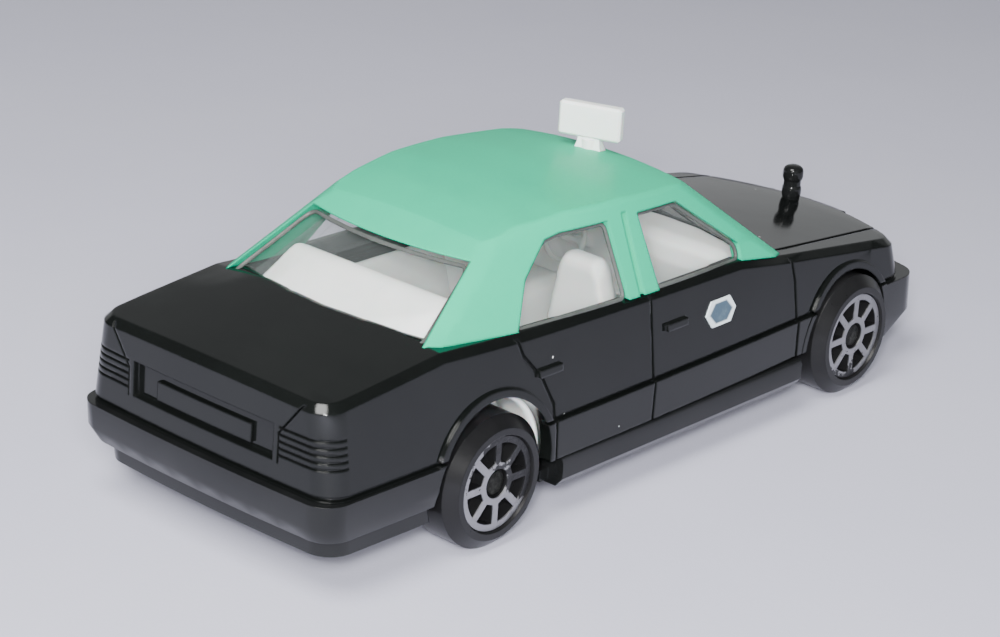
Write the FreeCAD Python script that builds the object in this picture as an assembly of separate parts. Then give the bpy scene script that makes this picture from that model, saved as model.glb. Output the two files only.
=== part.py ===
"""Toy taxi saloon, a pocket-size die-cast model car of about 1:60.

Millimetres. +X points forward, +Y to the car's left and +Z up. The origin is on the ground, under the
middle of the car's length and width. Every station called s is measured forward from the rear axle, and
x_at(s) turns it into an X coordinate.
"""
import FreeCAD, Part
import math
import os

Vec = FreeCAD.Vector

# ---------------------------------------------------------------- driving dimensions of the car
wheelbase = 46.7
rear_overhang = 18.2        # rear axle to the rear bumper's face
front_overhang = 13.7       # front axle to the front bumper's face
body_half_width = 13.75     # at the groove above the side cladding
waist_groove_z = 8.6        # groove that runs round the car at the height of the bumpers' tops
cladding_proud = 0.25       # side cladding below the groove stands out by this

# castings and mouldings
body_wall = 1.1
pillar_wall = 0.9
glass_thickness = 0.7
glass_fit = 0.06            # clearance between the glazing and the casting round it
seat_gap = 0.1              # clearance of pieces that drop into the body
groove_width = 0.3
groove_depth = 0.3

# wheels and axles
tyre_radius = 5.42
tyre_width = 4.5
wheel_face_y = 14.3         # outer face of each wheel
axle_radius = 0.6
axle_fit = 0.05             # radial running clearance of a wheel on its axle
axle_head_radius = 0.95
axle_head_length = 0.35
hub_pocket_radius = 1.2
hub_pocket_depth = 0.8
rim_ring_outer = 3.87
rim_ring_inner = 3.3
spoke_count = 8
spoke_hub_radius = 1.75
pocket_depth = 0.9
rim_set_back = 0.35         # the rim's face lies this far inside the wheel's outer face
rim_lip = 0.1
inner_shoulder = 0.6
outer_shoulder = 0.9
axle_end_play = 0.02
spoke_half_width = 0.3
stamp_thickness = 0.1       # raised foil stamped on the wheel's face
stamp_inset = 0.05          # bare edge of the wheel's face round the foil

# wheel arches
arch_radius = 6.25
rear_arch_z = 5.9
front_arch_z = 5.0
arch_lip_width = 0.65
arch_lip_proud = 0.3

# base
base_thickness = 1.0
pan_underside_z = 2.9
sill_underside_z = 2.6
sill_top_z = 5.2
sill_half_width = 14.04
sill_low_bevel = (0.7, 0.8)     # width and height of the bevel along the sill's lower edge
sill_top_bevel = (0.2, 0.5)     # and along its upper edge
sill_root = 0.8             # the sills reach this far into the pan
sill_start_s = 7.8
sill_end_s = 39.2
bumper_wall = 1.2
bumper_top_gap = 0.15
rear_bumper_bottom_z = 3.5
rear_bumper_lip_z = 5.2     # the bumper steps in below this
front_bumper_bottom_z = 2.7

length = rear_overhang + wheelbase + front_overhang
rear_axle_x = rear_overhang - length / 2.0
axle_z = tyre_radius
tail_s = -rear_overhang
nose_s = wheelbase + front_overhang
# cutters run past the car's sides, tail, nose and roof to these
side_reach = body_half_width + 3.0
tail_reach = tail_s - 3.0
nose_reach = nose_s + 3.0
sky_z = 26.0
base_reach_z = 12.0         # cutters of the base and the bumpers end here, above both


def x_at(s):
    """X coordinate of a station measured forward from the rear axle."""
    return rear_axle_x + s


def box(s0, s1, y0, y1, z0, z1):
    """Axis-aligned block between two stations, two widths and two heights."""
    return Part.makeBox(s1 - s0, y1 - y0, z1 - z0, Vec(x_at(s0), y0, z0))


def cylinder_x(y, z, radius, s0, s1):
    """Cylinder along X."""
    return Part.makeCylinder(radius, s1 - s0, Vec(x_at(s0), y, z), Vec(1, 0, 0))


def cylinder_y(s, z, radius, y0, y1):
    """Cylinder along Y."""
    return Part.makeCylinder(radius, y1 - y0, Vec(x_at(s), y0, z), Vec(0, 1, 0))


def cylinder_z(s, y, radius, z0, z1):
    """Cylinder along Z."""
    return Part.makeCylinder(radius, z1 - z0, Vec(x_at(s), y, z0), Vec(0, 0, 1))


def prism_y(outline, y0, y1):
    """Side-view outline of (s, z) points, extruded from y0 to y1."""
    points = [Vec(x_at(s), y0, z) for s, z in outline]
    face = Part.Face(Part.makePolygon(points + points[:1]))
    return face.extrude(Vec(0, y1 - y0, 0))


def prism_x(outline, s0, s1):
    """End-view outline of (y, z) points, extruded from station s0 to s1."""
    points = [Vec(x_at(s0), y, z) for y, z in outline]
    face = Part.Face(Part.makePolygon(points + points[:1]))
    return face.extrude(Vec(s1 - s0, 0, 0))


def prism_z(outline, z0, z1):
    """Plan outline of (s, y) points, extruded from z0 to z1."""
    points = [Vec(x_at(s), y, z0) for s, y in outline]
    face = Part.Face(Part.makePolygon(points + points[:1]))
    return face.extrude(Vec(0, 0, z1 - z0))


def round_edges(shape, radius, chosen):
    """Fillet the edges for which chosen(edge) holds."""
    edges = [edge for edge in shape.Edges if chosen(edge)]
    return shape.makeFillet(radius, edges)


def circle_through(a, b, c):
    """Centre and radius of the circle through three plan points."""
    ax, ay, bx, by, cx, cy = a[0], a[1], b[0], b[1], c[0], c[1]
    d = 2.0 * (ax * (by - cy) + bx * (cy - ay) + cx * (ay - by))
    a2, b2, c2 = ax * ax + ay * ay, bx * bx + by * by, cx * cx + cy * cy
    centre = ((a2 * (by - cy) + b2 * (cy - ay) + c2 * (ay - by)) / d,
              (a2 * (cx - bx) + b2 * (ax - cx) + c2 * (bx - ax)) / d)
    return centre, math.hypot(ax - centre[0], ay - centre[1])


def corner_centre(first, second, radius, corner):
    """Centre of the arc of this radius that touches two circles from inside, beside their corner."""
    (ax, ay), ra = first[0], first[1] - radius
    (bx, by), rb = second[0], second[1] - radius
    gap = math.hypot(bx - ax, by - ay)
    ux, uy = (bx - ax) / gap, (by - ay) / gap
    run = (ra * ra - rb * rb + gap * gap) / (2.0 * gap)
    rise = math.sqrt(ra * ra - run * run)
    both = [(ax + ux * run - uy * rise, ay + uy * run + ux * rise),
            (ax + ux * run + uy * rise, ay + uy * run - ux * rise)]
    return min(both, key=lambda p: math.hypot(p[0] - corner[0], p[1] - corner[1]))


def rounded_outline(z, tail, nose, half, bows, halves, radii):
    """Plan outline at height z: bowed tail, sides and nose, joined by tangent corner arcs.

    bows, halves and radii each hold the tail's value and the nose's value.
    """
    tail_corner, nose_corner = x_at(tail + bows[0]), x_at(nose - bows[1])
    middle = (tail_corner + nose_corner) / 2.0
    corners = [(tail_corner, -halves[0]), (nose_corner, -halves[1]),
               (nose_corner, halves[1]), (tail_corner, halves[0])]
    crowns = [(middle, -half), (x_at(nose), 0.0), (middle, half), (x_at(tail), 0.0)]
    circles = [circle_through(corners[i], crowns[i], corners[(i + 1) % 4]) for i in range(4)]
    touches = []
    for i, corner in enumerate(corners):
        radius = radii[0] if i in (0, 3) else radii[1]
        centre = corner_centre(circles[i - 1], circles[i], radius, corner)
        pair = []
        for (cx, cy), big in (circles[i - 1], circles[i]):
            reach = math.hypot(centre[0] - cx, centre[1] - cy)
            pair.append((cx + (centre[0] - cx) / reach * big, cy + (centre[1] - cy) / reach * big))
        out = ((pair[0][0] + pair[1][0]) / 2 - centre[0], (pair[0][1] + pair[1][1]) / 2 - centre[1])
        size = math.hypot(*out)
        middle_touch = (centre[0] + out[0] / size * radius, centre[1] + out[1] / size * radius)
        touches.append((pair[0], middle_touch, pair[1]))
    edges = []
    for i in range(4):
        start, mid, end = touches[i]
        following = touches[(i + 1) % 4][0]
        edges.append(arc_at(z, start, mid, end))
        edges.append(arc_at(z, end, crowns[i], following))
    return Part.Wire(edges)


def arc_at(z, a, b, c):
    """Arc through three plan points at height z."""
    return Part.Arc(Vec(a[0], a[1], z), Vec(b[0], b[1], z), Vec(c[0], c[1], z)).toShape()


def crowned_block(sections, width, lift):
    """Solid under a crowned skin: sections of (s, height at the half width, height at the centre)."""
    reach = width * 1.35
    wires = []
    for s, edge_z, centre_z in sections:
        side_z = centre_z - (centre_z - edge_z) * (reach / width) ** 2
        x = x_at(s)
        right, left = Vec(x, -reach, side_z + lift), Vec(x, reach, side_z + lift)
        low_left, low_right = Vec(x, reach, -5.0), Vec(x, -reach, -5.0)
        arc = Part.Arc(right, Vec(x, 0, centre_z + lift), left).toShape()
        lines = [Part.makeLine(left, low_left), Part.makeLine(low_left, low_right),
                 Part.makeLine(low_right, right)]
        wires.append(Part.Wire([arc] + lines))
    return Part.makeLoft(wires, True, True)


# ---------------------------------------------------------------- outer forms of the car
# levels of the lower body: height, tail's set-in, nose's set-in, set-in of the sides
body_levels = [
    (2.0, 1.1, 2.6, 0.10),
    (waist_groove_z, 0.6, 1.6, 0.0),
    (18.0, 0.8, 3.9, 1.25),
]
tail_bow = 0.4
nose_bow = 3.4
tail_corner_in = 0.3
nose_corner_in = 1.1
tail_corner_radius = 2.2
nose_corner_radius = 2.6

# crowned top of the lower body: station, height at the shoulder, height at the centre line
deck_half = 12.0
deck_sections = [
    (tail_s - 2.0, 15.10, 15.40),
    (tail_s + 1.5, 15.62, 15.95),
    (-5.0, 16.80, 17.20),
    (3.5, 16.30, 16.70),
    (31.0, 15.60, 15.95),
    (wheelbase - 10.0, 14.65, 14.95),
    (wheelbase - 1.0, 13.40, 13.85),
    (wheelbase + 7.5, 12.20, 12.75),
    (nose_s + 1.0, 10.70, 11.40),
]

deck_edge_chamfer = 0.55    # broken edge round the bonnet, the belt line and the boot
cabin_opening_z = 13.9      # the cabin's opening in the body starts here
glazing_low_z = 14.9
roof_top_z = 24.6

# glasshouse: height, rear-corner station, front-corner station, half widths at rear, middle and front,
# bow of the rear window and of the windscreen
glasshouse_low = (13.0, -11.21, 39.41, 13.18, 13.84, 12.77, 3.13, 3.09)
glasshouse_high = (24.8, 7.56, 23.67, 7.40, 9.38, 8.53, 0.6, 0.8)
pillar_chamfer = 0.6         # broken edge of the corner pillars
core_strips = 6             # flat strips in each inner face of the roof casting and the glazing
glasshouse_lean = 1.6       # set-in along X of a raked window for each unit of set-in

# crowned roof: station, height at the gutter, height at the centre line
roof_half = 9.5
roof_sections = [
    (-14.0, 17.40, 18.10),
    (-3.0, 20.30, 21.00),
    (2.8, 21.95, 22.65),
    (6.5, 23.00, 23.60),
    (11.5, 23.45, 24.00),
    (18.0, 23.35, 23.95),
    (24.9, 22.80, 23.45),
    (30.0, 21.90, 22.60),
    (41.0, 20.00, 20.70),
]
roof_edge_radius = 0.7
gutter_z = 20.5             # every edge above this belongs to the roof panel


def body_plan(inset):
    """Lower body between its sides, tail and nose, set in all round, before its top is cut."""
    wires = []
    for z, tail_in, nose_in, side_in in body_levels:
        half = body_half_width - side_in - inset
        wires.append(rounded_outline(
            z, tail_s + tail_in + inset, nose_s - nose_in - inset, half, (tail_bow, nose_bow),
            (half - tail_corner_in, half - nose_corner_in),
            (tail_corner_radius - inset * 0.8, nose_corner_radius - inset * 0.8)))
    return Part.makeLoft(wires, True, True)


def deck_block(lift):
    """Everything below the bonnet, the belt line and the boot lid."""
    return crowned_block(deck_sections, deck_half, lift)


def glasshouse_arcs(inset):
    """Arcs round the glasshouse at its lower and its upper level, set in all round."""
    levels = []
    for z, rear, front, rear_half, half, front_half, rear_bow, front_bow in (glasshouse_low, glasshouse_high):
        tail, nose = x_at(rear + inset * glasshouse_lean), x_at(front - inset * glasshouse_lean)
        middle = (tail + nose) / 2.0
        corners = [(tail, inset - rear_half), (nose, inset - front_half),
                   (nose, front_half - inset), (tail, rear_half - inset)]
        crowns = [(middle, inset - half), (nose + front_bow, 0.0),
                  (middle, half - inset), (tail - rear_bow, 0.0)]
        levels.append([arc_at(z, corners[i], crowns[i], corners[(i + 1) % 4]) for i in range(4)])
    return levels


def glasshouse(inset):
    """Pillars and windows as one tapered block with curved sides, before the roof is cut."""
    block = Part.makeLoft([Part.Wire(arcs) for arcs in glasshouse_arcs(inset)], True, True)
    rise = glasshouse_high[0] - glasshouse_low[0]
    upright = [e for e in block.Edges if abs(e.BoundBox.ZLength - rise) < 0.01]
    return block.makeChamfer(pillar_chamfer, upright)


def glasshouse_core(inset):
    """The same tapered block laid in flat strips, as the mould's core that forms an inner face."""
    low, high = [[p for arc in arcs for p in arc.discretize(core_strips + 1)[:-1]]
                 for arcs in glasshouse_arcs(inset)]
    faces = []
    for i in range(len(low)):
        j = (i + 1) % len(low)
        for corners in ((low[i], low[j], high[j]), (low[i], high[j], high[i])):
            faces.append(Part.Face(Part.makePolygon(list(corners) + [corners[0]])))
    for ring in (low, high):
        faces.append(Part.Face(Part.makePolygon(ring + [ring[0]])))
    return Part.Solid(Part.Shell(faces))


def roof_block(lift):
    """Everything below the roof's skin."""
    return crowned_block(roof_sections, roof_half, lift)


# ---------------------------------------------------------------- body casting
# bonnet, wings, doors and boot in one hollow die-cast shell, open below
lamp_inner_y = 8.1              # tail lamps reach from here round the corners
lamp_wrap_s = tail_s + 3.0
lamp_low_z = 10.95
lamp_high_z = 13.1
lamp_rib_count = 4
rib_groove_width = 0.18
rib_groove_depth = 0.12
plate_recess_half = 7.6
plate_recess_low_z = 10.4
plate_recess_high_z = 13.2
plate_recess_depth = 0.55
plate_half = 5.1
plate_low_z = 10.8
plate_high_z = 12.3
plate_thickness = 0.3
grille_half = 4.3
grille_low_z = 8.9
grille_proud = 0.45
grille_bar_count = 7
grille_high_z = 11.6
grille_frame = 0.4
grille_top_gap = 0.15
grille_slot_floor = 0.4      # depth of the slots between the bars
headlamp_inner_y = 5.3
headlamp_outer_y = 10.6
headlamp_low_z = 9.0
headlamp_high_z = 11.3
lens_frame = 0.35
post_radius = 1.7
post_stations = (-11.9, wheelbase + 6.8)
rivet_shank_radius = 1.0
rivet_head_radius = 1.6
rivet_head_height = 0.5
rivet_fit = 0.05
rivet_pocket_half = 2.2      # square pocket in the base's underside round each rivet's head

# rear edge, front edge and lower ends of the door gaps as (s, z) lines on the body side
belt_cut_z = 17.0
door_lines = [
    [(18.8, belt_cut_z), (18.8, sill_top_z)],
    [(37.9, 15.2), (38.6, 12.2), (38.9, sill_top_z)],
    [(2.4, belt_cut_z), (3.4, 14.6), (5.4, 12.4), (6.6, 10.0), (6.9, sill_top_z)],
]
cladding_start_s = -5.0
cladding_end_s = wheelbase + 4.0
# raised pull handles: station of the rear end, height of the lower edge
door_handles = [(4.9, 12.55), (20.5, 12.35)]
handle_length = 2.6
handle_height = 0.6
handle_proud = 0.35
# bonnet's side gap as an (s, y) line and the boot lid's end gap as a (y, z) line, mirrored
bonnet_gap = [(wheelbase - 9.5, 10.9), (wheelbase - 2.0, 10.3), (nose_s - 3.5, 9.2)]
boot_gap = [(10.5, 15.6), (lamp_inner_y, 12.6), (lamp_inner_y, plate_recess_low_z)]
boot_gap_width = 0.18


def bands(points, width, place):
    """Thin strip of the given width along a line of points, built by place(outline)."""
    strips = []
    for (a0, b0), (a1, b1) in zip(points[:-1], points[1:]):
        run = math.hypot(a1 - a0, b1 - b0)
        ua, ub = (a1 - a0) / run, (b1 - b0) / run
        na, nb = -ub * width / 2.0, ua * width / 2.0
        ea, eb = ua * width / 2.0, ub * width / 2.0
        strips.append(place([(a0 - ea + na, b0 - eb + nb), (a1 + ea + na, b1 + eb + nb),
                             (a1 + ea - na, b1 + eb - nb), (a0 - ea - na, b0 - eb - nb)]))
    return strips


def arch_cutters(grow, y0, y1):
    """Cylinders that open the two wheel arches on the right side."""
    return [cylinder_y(0.0, rear_arch_z, arch_radius + grow, y0, y1),
            cylinder_y(wheelbase, front_arch_z, arch_radius + grow, y0, y1)]


def side_layer(depth):
    """Layer of the body's sides and ends from well outside to this depth."""
    return body_plan(-1.0).cut(body_plan(depth))


def crown_layer(depth):
    """Layer of the crowned top from well above it to this depth."""
    return deck_block(1.0).cut(deck_block(-depth))


def outer_form(deck, plan):
    """The casting's outside as a solid block: sides, top, side cladding and arch lips."""
    block = plan.common(deck)
    top_edges = [e for e in block.Edges
                 if e.BoundBox.ZMin > waist_groove_z + 2.0 and e.BoundBox.XLength > 0.01]
    block = block.makeChamfer(deck_edge_chamfer, top_edges)
    cladding = body_plan(-cladding_proud).common(deck).common(
        box(cladding_start_s, cladding_end_s, -side_reach, side_reach, sill_top_z, waist_groove_z))
    rings = arch_cutters(arch_lip_width, -side_reach, side_reach)
    lips = body_plan(-arch_lip_proud).common(rings[0].fuse(rings[1])).common(deck)
    return block.fuse([cladding, lips])


def openings():
    """Everything taken out of the block: the hollow, the cabin's opening, the ends and the arches."""
    cavity = body_plan(body_wall).common(deck_block(-body_wall))
    cabin = glasshouse_core(pillar_wall).common(
        box(tail_s, nose_s, -side_reach, side_reach, cabin_opening_z, sky_z))
    # the bumpers close the ends below their tops, the base's sills close the middle
    end_z = waist_groove_z - bumper_top_gap
    tail_end = box(tail_reach, 0.0, -side_reach, side_reach, -1.0, end_z)
    nose_end = box(wheelbase, nose_reach, -side_reach, side_reach, -1.0, end_z)
    middle = box(-0.1, wheelbase + 0.1, -side_reach, side_reach, -1.0, sill_top_z + bumper_top_gap)
    return [cavity, cabin, tail_end, nose_end, middle] + arch_cutters(0.0, -side_reach, side_reach)


def engraving():
    """Door and lid gaps, the groove round the car and the ribs of the tail lamps."""
    lines = []
    for line in door_lines:
        lines += bands(line, groove_width, lambda o: prism_y(o, -side_reach, side_reach))
    lines.append(box(tail_reach, nose_reach, -side_reach, side_reach,
                     waist_groove_z, waist_groove_z + groove_width))
    lids = []
    for side in (1, -1):
        lids += bands([(s, side * y) for s, y in bonnet_gap], groove_width,
                      lambda o: prism_z(o, waist_groove_z + 3.0, sky_z))
        lines += bands([(side * y, z) for y, z in boot_gap], boot_gap_width,
                       lambda o: prism_x(o, tail_reach, tail_s + 1.5))
    ribs = []
    pitch = (lamp_high_z - lamp_low_z) / lamp_rib_count
    for i in range(lamp_rib_count + 1):
        low_z = lamp_low_z + i * pitch - rib_groove_width / 2.0
        for y0, y1 in ((lamp_inner_y, side_reach), (-side_reach, -lamp_inner_y)):
            ribs.append(box(tail_reach, lamp_wrap_s, y0, y1, low_z, low_z + rib_groove_width))
    side_skin, top_skin = side_layer(groove_depth), crown_layer(groove_depth)
    lamp_skin = side_layer(rib_groove_depth)
    return ([line.common(side_skin) for line in lines] + [lid.common(top_skin) for lid in lids]
            + [rib.common(lamp_skin) for rib in ribs])


def plate_recess():
    """Shallow recess for the rear plate."""
    return box(tail_reach, tail_s + 3.0, -plate_recess_half, plate_recess_half,
               plate_recess_low_z, plate_recess_high_z).cut(body_plan(plate_recess_depth))


def grille():
    """Raised grille, and the slots between its bars."""
    raised = body_plan(-grille_proud).common(deck_block(-grille_top_gap)).common(
        box(nose_s - 5.0, nose_reach, -grille_half, grille_half, grille_low_z, sky_z))
    raised = raised.cut(body_plan(body_wall / 2.0))
    slots = []
    pitch = (grille_high_z - grille_low_z) / grille_bar_count
    for i in range(grille_bar_count):
        z = grille_low_z + grille_frame + i * pitch
        for y0, y1 in ((grille_frame - grille_half, -grille_frame / 2.0),
                       (grille_frame / 2.0, grille_half - grille_frame)):
            slots.append(box(nose_s - 6.0, nose_reach, y0, y1, z, z + pitch / 2.0))
    slot_skin = side_layer(grille_slot_floor - grille_proud)
    return raised, [slot.common(slot_skin) for slot in slots]


def headlamp_frames():
    """Narrow engraved frame round each headlamp's lens."""
    frames = []
    for side in (1, -1):
        y0, y1 = sorted((side * headlamp_inner_y, side * headlamp_outer_y))
        whole = box(nose_s - 8.0, nose_reach, y0, y1, headlamp_low_z, headlamp_high_z)
        lens = box(nose_s - 8.0, nose_reach, y0 + lens_frame, y1 - lens_frame,
                   headlamp_low_z + lens_frame, headlamp_high_z - lens_frame)
        frames.append(whole.cut(lens).common(side_layer(groove_depth)))
    return frames


def door_handle_bars():
    """Raised pull handles on both sides."""
    skin = body_plan(-handle_proud).cut(body_plan(body_wall / 2.0))
    return [box(s, s + handle_length, -side_reach, side_reach, z, z + handle_height).common(skin)
            for s, z in door_handles]


def rivet_post(s):
    """Post under the deck, its thinner shank through the base, and the head peened under the base."""
    seat_z = base_top_at(s)
    under_z = seat_z - base_thickness
    post = cylinder_z(s, 0.0, post_radius, seat_z, sky_z).common(deck_block(-body_wall / 2.0))
    shank = cylinder_z(s, 0.0, rivet_shank_radius, under_z, seat_z)
    ball_radius = rivet_head_radius * 1.3
    ball = Part.makeSphere(ball_radius, Vec(x_at(s), 0, under_z + ball_radius - rivet_head_height))
    head = ball.common(box(s - 3.0, s + 3.0, -3.0, 3.0, under_z - rivet_head_height, under_z))
    return [post, shank, head]


def body_casting(deck, plan):
    """Hollow shell with arches, seams, lamps, grille, handles and the two rivet posts."""
    raised_grille, grille_slots = grille()
    shell = outer_form(deck, plan).cut(openings())
    shell = shell.cut(engraving() + [plate_recess()] + headlamp_frames())
    shell = shell.fuse([raised_grille] + door_handle_bars())
    shell = shell.cut(grille_slots)
    for s in post_stations:
        shell = shell.fuse(rivet_post(s))
    return shell.removeSplitter()


# ---------------------------------------------------------------- base
# side view of the pan's underside: station, height
pan_line = [
    (tail_s + 2.4, rear_bumper_bottom_z + 0.5),
    (-6.5, pan_underside_z + 0.9),
    (-3.0, pan_underside_z),
    (wheelbase + 4.0, pan_underside_z),
    (nose_s - 2.6, front_bumper_bottom_z + 0.4),
]


def base_top_at(s):
    """Height of the pan's upper face at a station."""
    for (s0, z0), (s1, z1) in zip(pan_line[:-1], pan_line[1:]):
        if s0 <= s <= s1:
            return z0 + (z1 - z0) * (s - s0) / (s1 - s0) + base_thickness
    return pan_underside_z + base_thickness


exhaust_y = 3.6
exhaust_radius = 0.6
exhaust_sunk = 0.15          # its axis lies this far above the pan's underside
exhaust_start_s = -4.5
exhaust_end_s = wheelbase - 6.0
silencer_start_s = 8.0
silencer_end_s = 16.0
silencer_half = 1.8
silencer_proud = 0.35
silencer_edge_radius = 0.3
pressing_root = 0.3          # the pressings reach this far into the pan
floor_rib_ys = (-6.0, -2.2)
floor_rib_half = 0.4
floor_rib_proud = 0.2
floor_rib_start_s = 9.0
floor_rib_end_s = wheelbase - 8.0
lug_foot_half = 2.6
lug_head_half = 1.45
lug_top_z = axle_z + axle_radius + 0.8      # the lug's crown over the axle is 0.8 thick
lug_fit = 0.02              # radial fit of the axle in the base's lugs
pan_arch_half = arch_radius + 0.6
wheel_gap = 0.3             # clearance between a wheel and the base beside it
lug_inner_y = 7.0
lug_outer_y = 9.2


def base_plate():
    """Moulded base: pan, sills, axle lugs, exhaust and floor pressings."""
    upper = [(s, z + base_thickness) for s, z in reversed(pan_line)]
    pan = prism_y(pan_line + upper, -side_reach, side_reach).common(body_plan(body_wall + seat_gap))
    for levels, s0, s1 in bumper_spans:
        pan = pan.cut(bumper_plan(levels, 0.0).cut(bumper_plan(levels, bumper_wall + seat_gap)).common(
            box(s0, s1, -side_reach, side_reach, 0.0, waist_groove_z)))
    # the pan narrows between the wheels
    wheel_inner_y = wheel_face_y - tyre_width
    for axle_s in (0.0, wheelbase):
        for y0, y1 in ((wheel_inner_y - wheel_gap, side_reach), (-side_reach, wheel_gap - wheel_inner_y)):
            pan = pan.cut(box(axle_s - pan_arch_half, axle_s + pan_arch_half, y0, y1, 0.0, base_reach_z))
    sill = [(pan_inner_y(), sill_underside_z), (sill_half_width - sill_low_bevel[0], sill_underside_z),
            (sill_half_width, sill_underside_z + sill_low_bevel[1]),
            (sill_half_width, sill_top_z - sill_top_bevel[1]),
            (sill_half_width - sill_top_bevel[0], sill_top_z), (pan_inner_y(), sill_top_z)]
    right = [(-y, z) for y, z in sill]
    plate = pan.fuse([prism_x(sill, sill_start_s, sill_end_s), prism_x(right, sill_start_s, sill_end_s)])
    for axle_s in (0.0, wheelbase):
        for y0, y1 in ((lug_inner_y, lug_outer_y), (-lug_outer_y, -lug_inner_y)):
            foot_z = pan_underside_z + base_thickness / 2.0
            lug = prism_y([(axle_s - lug_foot_half, foot_z), (axle_s + lug_foot_half, foot_z),
                           (axle_s + lug_head_half, lug_top_z), (axle_s - lug_head_half, lug_top_z)], y0, y1)
            plate = plate.fuse(lug)
        plate = plate.cut(cylinder_y(axle_s, axle_z, axle_radius + lug_fit, -side_reach, side_reach))
    # exhaust pipe and silencer, and two long floor ribs, pressed into the underside
    relief = [cylinder_x(exhaust_y, pan_underside_z + exhaust_sunk, exhaust_radius,
                         exhaust_start_s, exhaust_end_s)]
    silencer = box(silencer_start_s, silencer_end_s, exhaust_y - silencer_half, exhaust_y + silencer_half,
                   pan_underside_z - silencer_proud, pan_underside_z + pressing_root)
    relief.append(round_edges(silencer, silencer_edge_radius, lambda e: e.BoundBox.ZMax < pan_underside_z))
    for y in floor_rib_ys:
        relief.append(box(floor_rib_start_s, floor_rib_end_s, y - floor_rib_half, y + floor_rib_half,
                          pan_underside_z - floor_rib_proud, pan_underside_z + pressing_root))
    plate = plate.fuse(relief)
    for s in post_stations:
        plate = plate.cut(cylinder_z(s, 0.0, rivet_shank_radius + rivet_fit, 0.0, base_reach_z))
        plate = plate.cut(cylinder_z(s, 0.0, post_radius + seat_gap, base_top_at(s), base_reach_z))
        plate = plate.cut(box(s - rivet_pocket_half, s + rivet_pocket_half, -rivet_pocket_half,
                              rivet_pocket_half, 0.0, base_top_at(s) - base_thickness))
    return plate.removeSplitter()


def pan_inner_y():
    """Half width where the sills grow out of the pan."""
    return body_half_width - body_wall - seat_gap - sill_root


# ---------------------------------------------------------------- bumpers
# levels: height, tail set-in, nose set-in, side set-in against the body's half width
rear_bumper_levels = [
    (rear_bumper_bottom_z, 1.75, 1.0, 1.05),
    (rear_bumper_lip_z - 0.1, 1.55, 1.0, 0.95),
    (rear_bumper_lip_z, 0.75, 1.0, 0.25),
    (rear_bumper_lip_z + 1.3, 0.05, 1.0, -0.15),
    (waist_groove_z - bumper_top_gap, 0.0, 1.0, -0.25),
]
front_bumper_levels = [
    (front_bumper_bottom_z, 1.0, 2.2, 0.6),
    (front_bumper_bottom_z + 2.2, 1.0, 0.0, 0.0),
    (waist_groove_z - bumper_top_gap, 1.0, 0.5, -0.15),
]
bumper_nose_bow = 2.2
bumper_spans = [
    (rear_bumper_levels, tail_s - 1.0, -0.5),
    (front_bumper_levels, wheelbase + 0.5, nose_s + 1.0),
]


def bumper_plan(levels, inset):
    """Bumper form between its levels, set in all round."""
    wires = []
    for z, tail_in, nose_in, side_in in levels:
        half = body_half_width - side_in - inset
        wires.append(rounded_outline(
            z, tail_s + tail_in + inset, nose_s - nose_in - inset, half, (tail_bow, bumper_nose_bow),
            (half - tail_corner_in, half - nose_corner_in),
            (tail_corner_radius - inset * 0.8, nose_corner_radius - inset * 0.8)))
    return Part.makeLoft(wires, True, True)


def bumper(levels, s0, s1):
    """U-shaped band of one bumper, hollow behind."""
    band = bumper_plan(levels, 0.0).cut(bumper_plan(levels, bumper_wall))
    band = band.common(box(s0, s1, -side_reach, side_reach, 0.0, base_reach_z))
    return band.cut(arch_cutters(0.0, -side_reach, side_reach))


# ---------------------------------------------------------------- roof casting and glazing
window_cut_z = 13.0         # the window cutters start here, inside the body below the belt line
# side windows: lower rear, upper rear, upper front, lower front corners and any corner between
rear_side_window = [(3.0, window_cut_z), (3.5, 16.4), (5.6, 19.6), (8.6, 21.9), (10.2, 22.15),
                    (15.5, 22.05), (16.2, 15.6), (16.3, window_cut_z)]
front_side_window = [(20.1, window_cut_z), (20.0, 15.6), (19.1, 21.95), (24.4, 21.7), (31.5, 16.9),
                     (31.3, window_cut_z)]
# end windows: half width at the sill, at the belt line and at the top
rear_window = [(11.6, window_cut_z), (10.55, 16.9), (8.45, 21.3)]
windscreen = [(12.1, window_cut_z), (11.0, 15.9), (8.8, 21.9)]
# groove down the middle pillar, between the two doors
pillar_groove_s = 17.9
pillar_groove_half = 0.3
pillar_groove_lean = 0.4        # its upper end lies this far behind its lower end
pillar_groove_low_z = 14.0
pillar_groove_high_z = 22.3
pillar_groove_depth = 0.3


def both_sides(half_outline):
    """Closed end-view outline from its left half, given as (y, z) points from the sill up."""
    return [(-y, z) for y, z in half_outline] + half_outline[::-1]


def roof_casting(deck):
    """Roof panel and its pillars above the belt line, a shell with its windows cut."""
    outer = glasshouse(0.0).common(roof_block(0.0))
    crown = [e for e in outer.Edges if e.BoundBox.ZMin > gutter_z and e.BoundBox.XLength > 0.01]
    outer = outer.makeFillet(roof_edge_radius, crown)
    inner = glasshouse_core(pillar_wall).common(roof_block(-pillar_wall))
    shell = outer.cut(inner).cut(deck)
    cutters = [prism_y(rear_side_window, -side_reach, side_reach),
               prism_y(front_side_window, -side_reach, side_reach),
               prism_x(both_sides(rear_window), tail_s, 6.0), prism_x(both_sides(windscreen), 25.0, nose_s)]
    shell = shell.cut(cutters)
    top_s = pillar_groove_s - pillar_groove_lean
    groove = prism_y([(pillar_groove_s - pillar_groove_half, pillar_groove_low_z),
                      (pillar_groove_s + pillar_groove_half, pillar_groove_low_z),
                      (top_s + pillar_groove_half, pillar_groove_high_z),
                      (top_s - pillar_groove_half, pillar_groove_high_z)], -side_reach, side_reach)
    shell = shell.cut(groove.common(glasshouse(-1.0).cut(glasshouse(pillar_groove_depth))))
    peg_hole = cylinder_z(sign_s, 0.0, sign_peg_radius + sign_peg_fit, gutter_z, sky_z)
    return shell.cut(peg_hole)


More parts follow.
